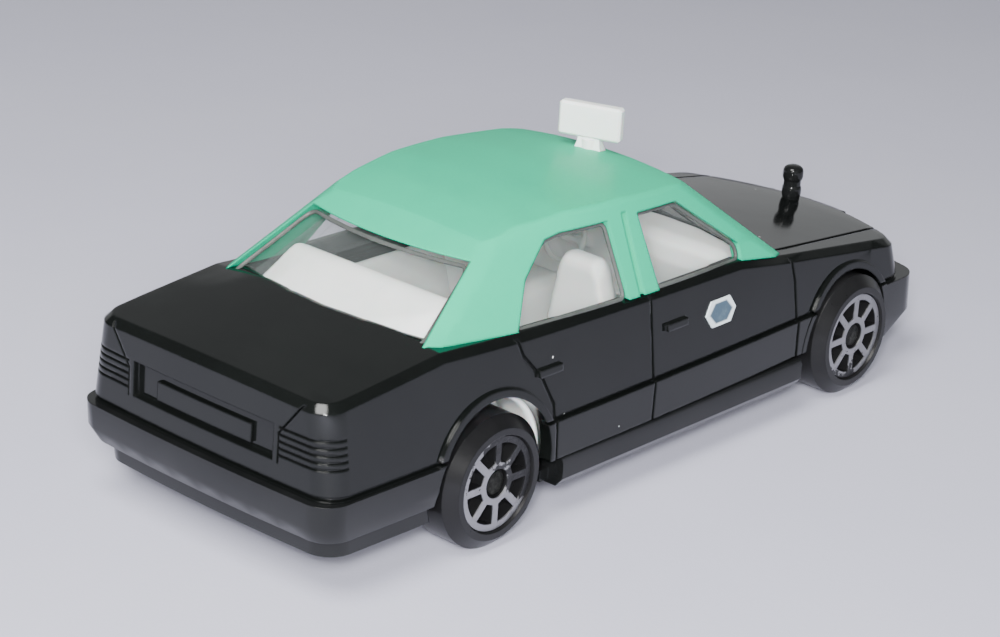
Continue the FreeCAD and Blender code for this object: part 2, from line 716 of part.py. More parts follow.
def glazing():
    """All the windows in one clear shell lining the roof casting."""
    gap = pillar_wall + glass_fit
    outer = glasshouse_core(gap).common(roof_block(-gap))
    inner = glasshouse_core(gap + glass_thickness).common(roof_block(-gap - glass_thickness))
    shell = outer.cut(inner)
    return shell.common(box(tail_s, nose_s, -side_reach, side_reach, glazing_low_z, roof_top_z))


# ---------------------------------------------------------------- interior
tub_half_width = 10.5
bench_half_width = 8.9
tub_floor_z = 6.5
tub_wall = 0.8
tub_start_s = 5.6
tub_wall_start_s = 8.0
tub_end_s = 36.8
tub_wall_top_z = 14.2
shelf_line = [(-7.0, 16.0), (-4.5, 16.7), (-0.4, 18.15), (0.5, 18.3), (1.3, 18.0)]
bench_line = [(5.4, 11.0), (6.3, 10.6), (11.6, 11.1), (12.2, 10.5), (12.4, tub_floor_z + tub_wall)]
bench_underside = [(11.6, tub_floor_z), (4.2, tub_floor_z), (-0.6, 14.8), (-7.0, 15.2)]
seat_line = [(18.4, 10.6), (16.7, 16.9), (17.0, 17.6), (18.1, 17.8), (19.1, 17.0), (21.2, 11.2),
             (26.0, 11.4), (26.6, 10.8), (26.6, tub_floor_z + tub_wall), (19.4, tub_floor_z + tub_wall)]
cushion_z = 10.7
seat_edge_chamfer = 0.8
seat_centre_y = 5.6
seat_width = 6.6
dash_side_gap = 0.4
foot_stations = (9.5, 33.5)     # feet that stand on the base
foot_y = 7.0
foot_radius = 1.0
steering_s = 29.9
steering_z = 12.95
steering_radius = 2.1
steering_rim_radius = 0.32
steering_lean = Vec(0.9, 0, -0.35)
steering_spoke_half_width = 0.3
steering_spoke_half_depth = 0.25
column_radius = 0.5
column_length = 4.0
dash_line = [(36.8, 14.9), (33.4, 15.0), (32.4, 14.4), (32.6, 12.6), (34.0, 10.0),
             (35.2, tub_floor_z), (36.8, tub_floor_z)]


def interior():
    """White tub with its rear bench, parcel shelf, front seats, dashboard and steering wheel."""
    floor = box(tub_start_s, tub_end_s, -tub_half_width, tub_half_width, tub_floor_z, tub_floor_z + tub_wall)
    walls = [box(tub_wall_start_s, tub_end_s, y, y + tub_wall, tub_floor_z, tub_wall_top_z)
             for y in (-tub_half_width, tub_half_width - tub_wall)]
    bench = prism_y(shelf_line + bench_line + bench_underside, -bench_half_width, bench_half_width)
    seats = []
    for centre in (seat_centre_y, -seat_centre_y):
        seat = prism_y(seat_line, centre - seat_width / 2, centre + seat_width / 2)
        padded = [e for e in seat.Edges if e.BoundBox.ZMin > cushion_z and e.BoundBox.YLength < 0.1]
        seats.append(seat.makeChamfer(seat_edge_chamfer, padded))
    dash = prism_y(dash_line, dash_side_gap - tub_half_width, tub_half_width - dash_side_gap)
    feet = [cylinder_z(s, y, foot_radius, pan_underside_z + base_thickness, tub_floor_z + 0.1)
            for s in foot_stations for y in (-foot_y, foot_y)]
    hub = Vec(x_at(steering_s), seat_centre_y, steering_z)
    column = Part.makeCylinder(column_radius, column_length, hub, steering_lean)
    rim = Part.makeTorus(steering_radius, steering_rim_radius, hub, steering_lean)
    spoke = box(steering_s - steering_spoke_half_width, steering_s + steering_spoke_half_width,
                seat_centre_y - steering_radius, seat_centre_y + steering_radius,
                steering_z - steering_spoke_half_depth, steering_z + steering_spoke_half_depth)
    tub = floor.fuse(walls + [bench] + seats + [dash] + feet + [column, rim, spoke])
    return tub.common(room_inside()).removeSplitter()


def room_inside():
    """Space for the interior: inside the body casting below, and inside the glazing above."""
    below = body_plan(body_wall + seat_gap).common(deck_block(-body_wall - seat_gap)).common(
        box(tail_s, nose_s, -side_reach, side_reach, 0.0, cabin_opening_z + seat_gap))
    above = glasshouse_core(pillar_wall + glass_fit + glass_thickness + seat_gap).common(
        box(tail_s, nose_s, -side_reach, side_reach, cabin_opening_z + seat_gap, glasshouse_high[0]))
    return below.fuse(above)


# ---------------------------------------------------------------- wheels and axles
def axle(s):
    """Steel axle with a head at each end, inside the hub pockets."""
    end_y = wheel_face_y - hub_pocket_depth
    rod = cylinder_y(s, axle_z, axle_radius, -end_y, end_y)
    heads = [cylinder_y(s, axle_z, axle_head_radius, end_y, end_y + axle_head_length),
             cylinder_y(s, axle_z, axle_head_radius, -end_y - axle_head_length, -end_y)]
    return rod.fuse(heads).removeSplitter()


def wheel(s):
    """Left wheel: tyre and spoked hub in one black moulding."""
    y_in, y_out = wheel_face_y - tyre_width, wheel_face_y
    rim_y = y_out - rim_set_back
    pocket_y = y_out - hub_pocket_depth - axle_end_play
    bore = axle_radius + axle_fit
    profile = [(bore, y_in), (tyre_radius - inner_shoulder, y_in), (tyre_radius, y_in + inner_shoulder),
               (tyre_radius, y_out - outer_shoulder), (tyre_radius - outer_shoulder, y_out),
               (rim_ring_outer + rim_lip, y_out), (rim_ring_outer, rim_y),
               (hub_pocket_radius, rim_y), (hub_pocket_radius, pocket_y), (bore, pocket_y)]
    points = [Vec(x_at(s) + radius, y, axle_z) for radius, y in profile]
    face = Part.Face(Part.makePolygon(points + points[:1]))
    solid = face.revolve(Vec(x_at(s), 0, axle_z), Vec(0, 1, 0), 360)
    return solid.cut(spoke_windows(s, rim_y - pocket_depth, y_out))


def spoke_windows(s, y0, y1):
    """The openings between the spokes, wider towards the rim."""
    windows = []
    half_angle = math.pi / spoke_count
    for i in range(spoke_count):
        middle = 2.0 * math.pi * (i + 0.5) / spoke_count
        inner = half_angle - math.asin(spoke_half_width / spoke_hub_radius)
        outer = half_angle - math.asin(spoke_half_width / rim_ring_inner)
        arc_points = []
        for radius, spread in ((spoke_hub_radius, -inner), (rim_ring_inner, -outer), (rim_ring_inner, 0.0),
                               (rim_ring_inner, outer), (spoke_hub_radius, inner)):
            angle = middle + spread
            arc_points.append(Vec(x_at(s) + radius * math.cos(angle), y0, axle_z + radius * math.sin(angle)))
        a, b, c, d, e = arc_points
        wire = Part.Wire([Part.makeLine(a, b), Part.Arc(b, c, d).toShape(),
                          Part.makeLine(d, e), Part.makeLine(e, a)])
        windows.append(Part.Face(wire).extrude(Vec(0, y1 - y0, 0)))
    return windows


def rim_face(s):
    """Silver foil of the left wheel: outer ring and spokes, stamped on the moulding's face."""
    y0 = wheel_face_y - rim_set_back
    disc = cylinder_y(s, axle_z, rim_ring_outer - stamp_inset, y0, y0 + stamp_thickness)
    hub = cylinder_y(s, axle_z, hub_pocket_radius, y0, y0 + stamp_thickness)
    return disc.cut([hub] + spoke_windows(s, y0 - 0.1, y0 + 1.0))


# ---------------------------------------------------------------- small pieces
sign_s = 25.4
sign_turn = 19.0            # the sign has been turned on its peg, right-hand end forward
sign_width = 5.5
sign_height = 2.9
sign_depth = 1.1
sign_low_z = 24.3
sign_edge_chamfer = 0.2
sign_peg_radius = 0.7
sign_peg_fit = 0.05         # radial clearance of the peg in the roof's hole
peg_low_z = 22.65
peg_high_z = 24.2
# flared foot of the sign: height, half depth, half width
foot_sections = [
    (22.6, 0.75, 1.45),
    (23.9, 0.45, 1.0),
    (sign_low_z + 0.1, 0.4, 0.95),
]
ornament_s = wheelbase + 8.6
ornament_lobe_radius = 0.95
ornament_lobe_z = 14.8
# half section of the stem: radius, height
ornament_line = [(0.0, 11.6), (0.75, 11.6), (0.75, 13.05), (0.45, 13.35), (0.55, 14.3), (0.0, 14.3)]
badge_s = 27.8
badge_z = 12.2
badge_length = 4.1
badge_height = 2.2
badge_thickness = 0.12


def roof_sign():
    """Roof sign box on its flared foot, with the peg that plugs into the roof."""
    corner = Vec(-sign_depth / 2, -sign_width / 2, sign_low_z)
    sign = Part.makeBox(sign_depth, sign_width, sign_height, corner)
    sign = sign.makeChamfer(sign_edge_chamfer, sign.Edges)
    sections = []
    for z, half_depth, half_width in foot_sections:
        corners = [Vec(side_x * half_depth, side_y * half_width, z)
                   for side_x, side_y in ((-1, -1), (1, -1), (1, 1), (-1, 1), (-1, -1))]
        sections.append(Part.makePolygon(corners))
    piece = sign.fuse(Part.makeLoft(sections, True, True))
    piece.rotate(Vec(0, 0, 0), Vec(0, 0, 1), sign_turn)
    piece.translate(Vec(x_at(sign_s), 0, 0))
    piece = piece.cut(roof_block(0.0))
    peg = cylinder_z(sign_s, 0.0, sign_peg_radius, peg_low_z, peg_high_z)
    return piece.fuse(peg).removeSplitter()


def bonnet_ornament(deck):
    """Plain two-lobed ornament on a stubby stem."""
    middle = x_at(ornament_s)
    points = [Vec(middle + r, 0, z) for r, z in ornament_line]
    stem = Part.Face(Part.makePolygon(points + points[:1])).revolve(Vec(middle, 0, 0), Vec(0, 0, 1), 360)
    lobe = Part.makeSphere(ornament_lobe_radius, Vec(middle, 0, ornament_lobe_z))
    return stem.fuse(lobe).cut(deck)


def door_badge():
    """Blank hexagonal plate on the left front door."""
    outline = [(badge_s + badge_length / 2 * c, badge_z + badge_height / 2 * z)
               for c, z in ((0.62, 1), (1, 0), (0.62, -1), (-0.62, -1), (-1, 0), (-0.62, 1))]
    return prism_y(outline, 0.0, side_reach).common(body_plan(-badge_thickness).cut(body_plan(0.0)))


def rear_plate():
    """Blank number plate on the floor of its recess."""
    block = box(tail_s - 3, tail_s + 3, -plate_half, plate_half, plate_low_z, plate_high_z)
    return block.common(body_plan(plate_recess_depth - plate_thickness).cut(body_plan(plate_recess_depth)))


def mirrored(shape):
    """Right-hand copy of a left-hand piece."""
    return shape.mirror(Vec(0, 0, 0), Vec(0, 1, 0))


def all_nodes():
    """Every piece of the car by name."""
    deck = deck_block(0.0)
    nodes = {
        "body_casting": body_casting(deck, body_plan(0.0)),
        "roof_casting": roof_casting(deck),
        "glazing": glazing(),
        "interior": interior(),
        "base_plate": base_plate(),
        "rear_bumper": bumper(*bumper_spans[0]),
        "front_bumper": bumper(*bumper_spans[1]),
        "rear_axle": axle(0.0),
        "front_axle": axle(wheelbase),
        "roof_sign": roof_sign(),
        "bonnet_ornament": bonnet_ornament(deck),
        "rear_plate": rear_plate(),
    }
    for name, s in (("rear", 0.0), ("front", wheelbase)):
        moulding, stamp = wheel(s), rim_face(s)
        nodes["wheel_%s_left" % name] = moulding
        nodes["wheel_%s_right" % name] = mirrored(moulding)
        nodes["rim_face_%s_left" % name] = stamp
        nodes["rim_face_%s_right" % name] = mirrored(stamp)
    badge = door_badge()
    nodes["badge_left"] = badge
    nodes["badge_right"] = mirrored(badge)
    return nodes


os.makedirs("parts", exist_ok=True)
for node, shape in all_nodes().items():
    solids = shape.Solids
    piece = solids[0] if len(solids) == 1 else Part.makeCompound(solids)
    piece.exportStep(os.path.join("parts", node + ".step"))
    print("%-20s %d solid(s), %8.2f mm3, %d faces, valid %s" % (
        node, len(solids), shape.Volume, len(shape.Faces), shape.isValid()))
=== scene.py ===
"""Looks of the toy taxi: enamelled castings, clear glazing, black mouldings and foil-stamped wheels.

Metres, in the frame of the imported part: +X forward, +Y to the car's left, +Z up, the ground at zero.
"""

import math

import bmesh
import bpy
import numpy as np
from mathutils import Matrix, Vector


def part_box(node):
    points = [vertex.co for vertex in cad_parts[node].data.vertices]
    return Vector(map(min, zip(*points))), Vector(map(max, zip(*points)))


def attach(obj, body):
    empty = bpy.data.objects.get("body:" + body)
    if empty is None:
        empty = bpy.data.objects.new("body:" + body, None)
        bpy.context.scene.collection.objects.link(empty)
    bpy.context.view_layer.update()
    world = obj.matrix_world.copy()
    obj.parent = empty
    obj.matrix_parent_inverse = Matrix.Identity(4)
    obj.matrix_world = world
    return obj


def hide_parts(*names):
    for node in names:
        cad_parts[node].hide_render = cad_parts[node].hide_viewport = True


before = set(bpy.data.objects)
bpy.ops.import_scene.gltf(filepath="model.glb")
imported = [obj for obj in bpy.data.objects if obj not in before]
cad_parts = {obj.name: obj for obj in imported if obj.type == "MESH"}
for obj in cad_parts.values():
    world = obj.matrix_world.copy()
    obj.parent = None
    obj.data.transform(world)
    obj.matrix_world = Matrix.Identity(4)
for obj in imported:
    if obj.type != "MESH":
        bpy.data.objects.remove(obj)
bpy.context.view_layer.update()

# ---------------------------------------------------------------- body casting
# The lower body is one hollow zinc casting, dipped in gloss black enamel that rounds every edge. The
# enamel has a slow orange-peel and carries a few specks of dust.


def new_group(name, inputs, outputs):
    """Empty shader group with named inputs (name, kind, default) and outputs (name, kind)."""
    group = bpy.data.node_groups.new(name, "ShaderNodeTree")
    for socket_name, kind, default in inputs:
        socket = group.interface.new_socket(name=socket_name, in_out="INPUT", socket_type=kind)
        if default is not None:
            socket.default_value = default
    for socket_name, kind in outputs:
        group.interface.new_socket(name=socket_name, in_out="OUTPUT", socket_type=kind)
    return group, group.nodes.new("NodeGroupInput"), group.nodes.new("NodeGroupOutput")


def relief_group():
    """Softened edges with slow waviness and fine grain on top, as a normal, and the grain's own value."""
    group, given, result = new_group(
        "relief",
        [("Vector", "NodeSocketVector", None), ("Wave per metre", "NodeSocketFloat", 300.0),
         ("Wave depth", "NodeSocketFloat", 0.1), ("Grain per metre", "NodeSocketFloat", 6000.0),
         ("Grain depth", "NodeSocketFloat", 0.05), ("Edge radius", "NodeSocketFloat", 0.00012)],
        [("Normal", "NodeSocketVector"), ("Grain", "NodeSocketFloat")])
    nodes, links = group.nodes, group.links
    wave, grain = nodes.new("ShaderNodeTexNoise"), nodes.new("ShaderNodeTexNoise")
    wave.inputs["Detail"].default_value = 2.0
    grain.inputs["Detail"].default_value = 3.0
    slow, fine = nodes.new("ShaderNodeBump"), nodes.new("ShaderNodeBump")
    slow.inputs["Distance"].default_value = 0.0006
    fine.inputs["Distance"].default_value = 0.0001
    for texture, bump, scale, depth in ((wave, slow, "Wave per metre", "Wave depth"),
                                        (grain, fine, "Grain per metre", "Grain depth")):
        links.new(given.outputs["Vector"], texture.inputs["Vector"])
        links.new(given.outputs[scale], texture.inputs["Scale"])
        links.new(given.outputs[depth], bump.inputs["Strength"])
        links.new(texture.outputs["Fac"], bump.inputs["Height"])
    soft_edge = nodes.new("ShaderNodeBevel")
    soft_edge.samples = 4
    links.new(given.outputs["Edge radius"], soft_edge.inputs["Radius"])
    links.new(soft_edge.outputs["Normal"], slow.inputs["Normal"])
    links.new(slow.outputs["Normal"], fine.inputs["Normal"])
    links.new(fine.outputs["Normal"], result.inputs["Normal"])
    links.new(grain.outputs["Fac"], result.inputs["Grain"])
    return group


def specks_group():
    """Scattered round specks, each cell of a cell pattern holding one if its own chance allows."""
    group, given, result = new_group(
        "specks",
        [("Vector", "NodeSocketVector", None), ("Cells per metre", "NodeSocketFloat", 700.0),
         ("Size", "NodeSocketFloat", 0.12), ("Share", "NodeSocketFloat", 0.3)],
        [("Mask", "NodeSocketFloat")])
    nodes, links = group.nodes, group.links
    cells = nodes.new("ShaderNodeTexVoronoi")
    links.new(given.outputs["Vector"], cells.inputs["Vector"])
    links.new(given.outputs["Cells per metre"], cells.inputs["Scale"])
    near, chance, both = (nodes.new("ShaderNodeMath") for _ in range(3))
    near.operation, chance.operation, both.operation = "LESS_THAN", "LESS_THAN", "MULTIPLY"
    links.new(cells.outputs["Distance"], near.inputs[0])
    links.new(given.outputs["Size"], near.inputs[1])
    hue = nodes.new("ShaderNodeSeparateColor")
    links.new(cells.outputs["Color"], hue.inputs["Color"])
    links.new(hue.outputs["Red"], chance.inputs[0])
    links.new(given.outputs["Share"], chance.inputs[1])
    links.new(near.outputs["Value"], both.inputs[0])
    links.new(chance.outputs["Value"], both.inputs[1])
    links.new(both.outputs["Value"], result.inputs["Mask"])
    return group


def wear_group():
    """Blotches where a thin layer has rubbed off: coarse noise broken up by finer noise, cut at a level."""
    group, given, result = new_group(
        "wear",
        [("Vector", "NodeSocketVector", None), ("Blotches per metre", "NodeSocketFloat", 500.0),
         ("Level", "NodeSocketFloat", 0.6), ("Softness", "NodeSocketFloat", 0.04)],
        [("Mask", "NodeSocketFloat")])
    nodes, links = group.nodes, group.links
    noise = nodes.new("ShaderNodeTexNoise")
    noise.inputs["Detail"].default_value = 8.0
    noise.inputs["Roughness"].default_value = 0.7
    links.new(given.outputs["Vector"], noise.inputs["Vector"])
    links.new(given.outputs["Blotches per metre"], noise.inputs["Scale"])
    top = nodes.new("ShaderNodeMath")
    top.operation = "ADD"
    links.new(given.outputs["Level"], top.inputs[0])
    links.new(given.outputs["Softness"], top.inputs[1])
    spread = nodes.new("ShaderNodeMapRange")
    links.new(noise.outputs["Fac"], spread.inputs["Value"])
    links.new(given.outputs["Level"], spread.inputs["From Min"])
    links.new(top.outputs["Value"], spread.inputs["From Max"])
    links.new(spread.outputs["Result"], result.inputs["Mask"])
    return group


relief, specks, wear = relief_group(), specks_group(), wear_group()


def new_material(name):
    """Material with a Principled surface and the object's own coordinates ready to use."""
    material = bpy.data.materials.new(name)
    material.use_nodes = True
    nodes, links = material.node_tree.nodes, material.node_tree.links
    surface = nodes["Principled BSDF"]
    place = nodes.new("ShaderNodeTexCoord")
    return material, nodes, links, surface, place.outputs["Object"]


def use_group(nodes, links, group, vector, **values):
    """Places a shared effect in a material, with its inputs set by name (spaces as underscores)."""
    node = nodes.new("ShaderNodeGroup")
    node.node_tree = group
    links.new(vector, node.inputs["Vector"])
    for key, value in values.items():
        node.inputs[key.replace("_", " ")].default_value = value
    return node


def mix_colours(nodes, links, mask, first, second):
    """Colour that goes from the first to the second as the mask goes from 0 to 1; either may be a socket."""
    mix = nodes.new("ShaderNodeMix")
    mix.data_type = "RGBA"
    links.new(mask, mix.inputs["Factor"])
    for name, colour in (("A", first), ("B", second)):
        if isinstance(colour, tuple):
            mix.inputs[name].default_value = (*colour, 1.0)
        else:
            links.new(colour, mix.inputs[name])
    return mix.outputs["Result"]


def vary(nodes, links, source, low, high):
    """A value between low and high that follows the source."""
    spread = nodes.new("ShaderNodeMapRange")
    links.new(source, spread.inputs["Value"])
    spread.inputs["To Min"].default_value = low
    spread.inputs["To Max"].default_value = high
    return spread.outputs["Result"]


joined_corners = 2e-6           # corners nearer than this are one
sliver_edge = 4e-6              # edges shorter than this are closed up
smooth_up_to = 32.0             # degrees; faces that meet at more keep a sharp edge


def skin_of(node, body, material, reshape=None):
    """Stands for a CAD node: its own mesh, joined at shared corners, shaded smooth and given a material."""
    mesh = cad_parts[node].data.copy()
    mesh.name = node + "_skin"
    work = bmesh.new()
    work.from_mesh(mesh)
    bmesh.ops.remove_doubles(work, verts=work.verts, dist=joined_corners)
    bmesh.ops.dissolve_degenerate(work, edges=work.edges, dist=sliver_edge)
    if reshape:
        reshape(work)
    work.to_mesh(mesh)
    work.free()
    mesh.attributes.remove(mesh.attributes["custom_normal"])
    mesh.shade_smooth()
    mesh.set_sharp_from_angle(angle=math.radians(smooth_up_to))
    mesh.materials.clear()
    mesh.materials.append(material)
    piece = bpy.data.objects.new(node + "_skin", mesh)
    bpy.context.scene.collection.objects.link(piece)
    even = piece.modifiers.new("even_shading", "WEIGHTED_NORMAL")
    even.mode = "FACE_AREA"
    even.keep_sharp = True
    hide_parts(node)
    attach(piece, body)
    return piece


dust_colour = (0.5, 0.52, 0.5)


def enamel(name, colour, shade, rough_low, rough_high, index, dust, grain):
    """Gloss enamel: a colour that drifts to a shade of it, roughness between two values, index of refraction,
    share of cells that hold a speck of dust, and depth of the grain."""
    material, nodes, links, surface, place = new_material(name)
    skin = use_group(nodes, links, relief, place, Wave_per_metre=200.0, Wave_depth=0.03,
                     Grain_per_metre=4000.0, Grain_depth=grain, Edge_radius=0.00024)
    links.new(skin.outputs["Normal"], surface.inputs["Normal"])
    dots = use_group(nodes, links, specks, place, Cells_per_metre=900.0, Size=0.09, Share=dust)
    patches = use_group(nodes, links, wear, place, Blotches_per_metre=60.0, Level=0.45, Softness=0.25)
    base = mix_colours(nodes, links, patches.outputs["Mask"], colour, shade)
    dusty = mix_colours(nodes, links, dots.outputs["Mask"], base, dust_colour)
    links.new(dusty, surface.inputs["Base Color"])
    links.new(vary(nodes, links, skin.outputs["Grain"], rough_low, rough_high), surface.inputs["Roughness"])
    surface.inputs["IOR"].default_value = index
    return material


top_edge_round = 0.00026        # radius on each side of the chamfer round the bonnet and the boot
top_edge_low = 0.0118           # height above which the chamfer's edges lie
chamfer_turn = (25.0, 65.0)     # degrees between the faces that meet along one of its edges
# upward share of a face's direction: more than this on the top, more than this on the chamfer, less than
# this on the side
top_share, chamfer_share, side_share = 0.9, 0.45, 0.35


def round_top_edges(work):
    """Bevels the two long edges of the chamfer between the body's top and its sides."""
    chosen = []
    for edge in work.edges:
        if len(edge.link_faces) != 2 or min(v.co.z for v in edge.verts) < top_edge_low:
            continue
        flatter, steeper = sorted((abs(face.normal.z) for face in edge.link_faces), reverse=True)
        turn = math.degrees(edge.calc_face_angle(0.0))
        bent = chamfer_turn[0] < turn < chamfer_turn[1] and edge.is_convex
        if bent and flatter > chamfer_share and (flatter > top_share) != (steeper < side_share):
            chosen.append(edge)
    bmesh.ops.bevel(work, geom=chosen, offset=top_edge_round, offset_type="OFFSET", segments=3,
                    profile=0.5, affect="EDGES", clamp_overlap=True)


black_enamel = enamel("black_enamel", (0.0034, 0.0040, 0.0038), (0.0048, 0.0056, 0.0052),
                      rough_low=0.09, rough_high=0.13, index=1.40, dust=0.025, grain=0.008)
skin_of("body_casting", "car", black_enamel, reshape=round_top_edges)

# ---------------------------------------------------------------- roof casting
# The roof panel and its pillars are a second zinc casting, which stands on the body along the belt line. Its
# enamel is mint green, thinner than the black and softer in gloss.
green_enamel = enamel("green_enamel", (0.0, 0.40, 0.215), (0.0, 0.365, 0.20),
                      rough_low=0.36, rough_high=0.46, index=1.22, dust=0.0, grain=0.003)
skin_of("roof_casting", "car", green_enamel)

# ---------------------------------------------------------------- glazing
# All the windows are one clear polystyrene moulding clipped under the roof, with fine scuffs from handling.
# Its thick edges look grey in shade, and that shade is painted on as dark lines in the window edges below.
# share of cover where it is seen head on, what flat angles add, and what scuffs add
face_gloss, edge_gloss, scuff_gloss = 0.03, 0.45, 0.03
gloss_power = 3.0               # how late the gloss grows as the surface turns away


def clear_plastic():
    """Clear moulding: see-through, with a thin gloss that grows at flat angles and in scuffs."""
    material, nodes, links, surface, place = new_material("clear_plastic")
    skin = use_group(nodes, links, relief, place, Wave_per_metre=140.0, Wave_depth=0.06,
                     Grain_per_metre=5000.0, Grain_depth=0.01)
    links.new(skin.outputs["Normal"], surface.inputs["Normal"])
    scuffs = use_group(nodes, links, wear, place, Blotches_per_metre=220.0, Level=0.5, Softness=0.3)
    links.new(vary(nodes, links, scuffs.outputs["Mask"], 0.05, 0.25), surface.inputs["Roughness"])
    surface.inputs["Base Color"].default_value = (0.30, 0.33, 0.33, 1.0)
    edge = nodes.new("ShaderNodeLayerWeight")
    links.new(skin.outputs["Normal"], edge.inputs["Normal"])
    steep, gloss, share = (nodes.new("ShaderNodeMath") for _ in range(3))
    steep.operation, gloss.operation, share.operation = "POWER", "MULTIPLY_ADD", "MULTIPLY_ADD"
    links.new(edge.outputs["Facing"], steep.inputs[0])
    steep.inputs[1].default_value = gloss_power
    links.new(steep.outputs["Value"], gloss.inputs[0])
    gloss.inputs[1].default_value = edge_gloss
    gloss.inputs[2].default_value = face_gloss
    links.new(scuffs.outputs["Mask"], share.inputs[0])
    share.inputs[1].default_value = scuff_gloss
    links.new(gloss.outputs["Value"], share.inputs[2])
    links.new(share.outputs["Value"], surface.inputs["Alpha"])
    return material


skin_of("glazing", "car", clear_plastic())


merged_points = 1e-6            # points of a grid that are nearer than this are one


def surface_piece(name, points, material, body, loop_rows=False, loop_columns=False):
    """Mesh piece from a grid of points, rows by columns, with one smooth face between four neighbours. A loop
    joins the last row or column to the first. Poles, where a whole row or column meets, are merged."""
    rows, columns = points.shape[:2]
    index = np.arange(rows * columns).reshape(rows, columns)
    if loop_rows:
        index = np.concatenate([index, index[:1]], axis=0)
    if loop_columns:
        index = np.concatenate([index, index[:, :1]], axis=1)
    faces = np.stack([index[:-1, :-1], index[:-1, 1:], index[1:, 1:], index[1:, :-1]], axis=-1).reshape(-1, 4)
    mesh = bpy.data.meshes.new(name)
    mesh.from_pydata(points.reshape(-1, 3).tolist(), [], faces.tolist())
    work = bmesh.new()
    work.from_mesh(mesh)
    bmesh.ops.remove_doubles(work, verts=work.verts, dist=merged_points)
    bmesh.ops.dissolve_degenerate(work, edges=work.edges, dist=merged_points)
    bmesh.ops.recalc_face_normals(work, faces=work.faces)
    work.to_mesh(mesh)
    work.free()
    mesh.shade_smooth()
    mesh.materials.append(material)
    piece = bpy.data.objects.new(name, mesh)
    bpy.context.scene.collection.objects.link(piece)
    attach(piece, body)
    return piece


# ---------------------------------------------------------------- window edges
# The clear moulding fills each opening of the roof casting. Round every window runs a dark grey line of
# painted
# shade: an opaque rod just below the surface that stands for the shadowed thick edge of the moulding. The
# outlines are the casting's own openings, with the belt line as their lower side.
rear_axle_x = sum(corner[0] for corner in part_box("rear_axle")) / 2.0
house_low_z, house_high_z = 0.0130, 0.0248
# glasshouse at its low and its high level: stations of its ends, half widths at rear, middle and front,
# and the bows of the two ends
house_levels = {"tail": (-0.01121, 0.00756), "nose": (0.03941, 0.02367), "rear_half": (0.01318, 0.00740),
                "half": (0.01384, 0.00938), "front_half": (0.01277, 0.00853),
                "rear_bow": (0.00313, 0.00060), "front_bow": (0.00309, 0.00080)}
window_edges = {
    "rear": [(0.01035, 0.01686), (0.00845, 0.02130), (-0.00845, 0.02130), (-0.01035, 0.01686),
             (-0.00500, 0.01697), (0.0, 0.01702), (0.00500, 0.01697)],
    "front": [(0.01149, 0.01465), (0.00880, 0.02190), (-0.00880, 0.02190), (-0.01149, 0.01465),
              (-0.00550, 0.01472), (0.0, 0.01476), (0.00550, 0.01472)],
    "rear_side": [(0.00350, 0.01635), (0.00560, 0.01960), (0.00860, 0.02190), (0.01020, 0.02215),
                  (0.01550, 0.02205), (0.01615, 0.01600)],
    "front_side": [(0.01998, 0.01590), (0.01910, 0.02195), (0.02440, 0.02170), (0.03150, 0.01690),
                   (0.03145, 0.01560)]}
edge_inset = 0.00012            # from an opening's outline inwards to the line's middle
edge_depth = 0.00044            # from the glasshouse's outer face in to the line's middle
edge_thickness = 0.00018        # radius of the line
edge_sides = 10
end_loop_points, side_loop_points = 180, 140
corner_spread = 2               # neighbours on each side that a corner is averaged over
# the way that each end faces, and how far a side faces outwards and up
end_outwards = {"rear": (-0.51, 0.0, 0.86), "front": (0.63, 0.0, 0.78)}
side_outwards, side_upwards = 0.935, 0.354


def house_at(z, name):
    """The named measure of the glasshouse at heights z: a straight line between its two levels."""
    low, high = house_levels[name]
    return low + (high - low) * (z - house_low_z) / (house_high_z - house_low_z)


def end_surface(y, z, end):
    """Points of a raked end: station = corner station bowed out by bow * (1 - (y / half width) ** 2)."""
    bowed = house_at(z, end + "_bow") * (1.0 - (y / house_at(z, end + "_half")) ** 2)
    station = house_at(z, "tail") - bowed if end == "rear" else house_at(z, "nose") + bowed
    return np.stack([rear_axle_x + station, y, z], axis=-1)


def side_surface(station, z, side):
    """Points of a side: half width = the parabola through its widths at its rear, middle and front."""
    tail, nose = house_at(z, "tail"), house_at(z, "nose")
    along = (station - tail) / (nose - tail)
    width = (house_at(z, "rear_half") * (1.0 - along) * (1.0 - 2.0 * along)
             + house_at(z, "half") * 4.0 * along * (1.0 - along)
             + house_at(z, "front_half") * along * (2.0 * along - 1.0))
    return np.stack([rear_axle_x + station, side * width, z], axis=-1)


def even_loop(outline, inset, count, rounding):
    """The closed outline moved inwards, cut into equal steps, and averaged over neighbours at its corners."""
    points = np.array(outline)
    ahead = np.roll(points, -1, axis=0) - points
    ahead /= np.linalg.norm(ahead, axis=1, keepdims=True)
    inward = np.stack([-ahead[:, 1], ahead[:, 0]], axis=-1)
    turning = np.sum(points[:, 0] * np.roll(points[:, 1], -1) - np.roll(points[:, 0], -1) * points[:, 1])
    inward *= math.copysign(1.0, turning)
    before = np.roll(inward, 1, axis=0)
    points = points + inset * (before + inward) / (1.0 + np.sum(before * inward, axis=1, keepdims=True))
    closed = np.concatenate([points, points[:1]])
    length = np.concatenate([[0.0], np.cumsum(np.linalg.norm(np.diff(closed, axis=0), axis=1))])
    steps = np.linspace(0.0, length[-1], count, endpoint=False)
    loop = np.stack([np.interp(steps, length, closed[:, i]) for i in range(2)], axis=-1)
    return np.mean([np.roll(loop, shift, axis=0) for shift in range(-rounding, rounding + 1)], axis=0)


